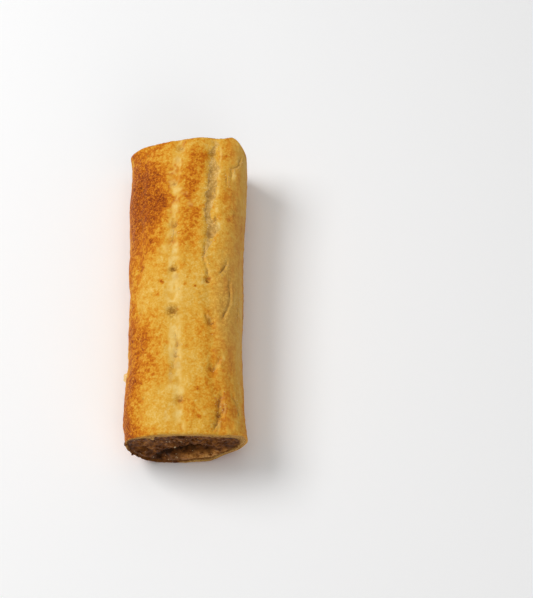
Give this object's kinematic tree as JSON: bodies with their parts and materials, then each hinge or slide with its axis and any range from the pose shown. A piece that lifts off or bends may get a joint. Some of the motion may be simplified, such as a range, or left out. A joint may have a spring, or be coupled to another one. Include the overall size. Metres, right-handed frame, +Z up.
{
  "type": "sausage roll",
  "caption": "Baked sausage roll: docked, blistered pastry lapped round a log of sausage meat that shows at the cut ends.",
  "frame": {"origin": "middle of the footprint, at the level of the surface the roll lies on", "axes": "+Y along the roll from the near cut end to the far one, +X across to the right, +Z up"},
  "size_m": [0.0582, 0.1528, 0.0393],
  "materials": {
    "baked_pastry": "baked puff pastry: golden, mottled brown along the left, satin where the glaze took",
    "sausage_meat": "cooked minced meat: dark brown, ragged, wet with fat"
  },
  "bodies": {
    "root": {"pastry": "baked_pastry", "filling": "sausage_meat"}
  },
  "joints": []
}
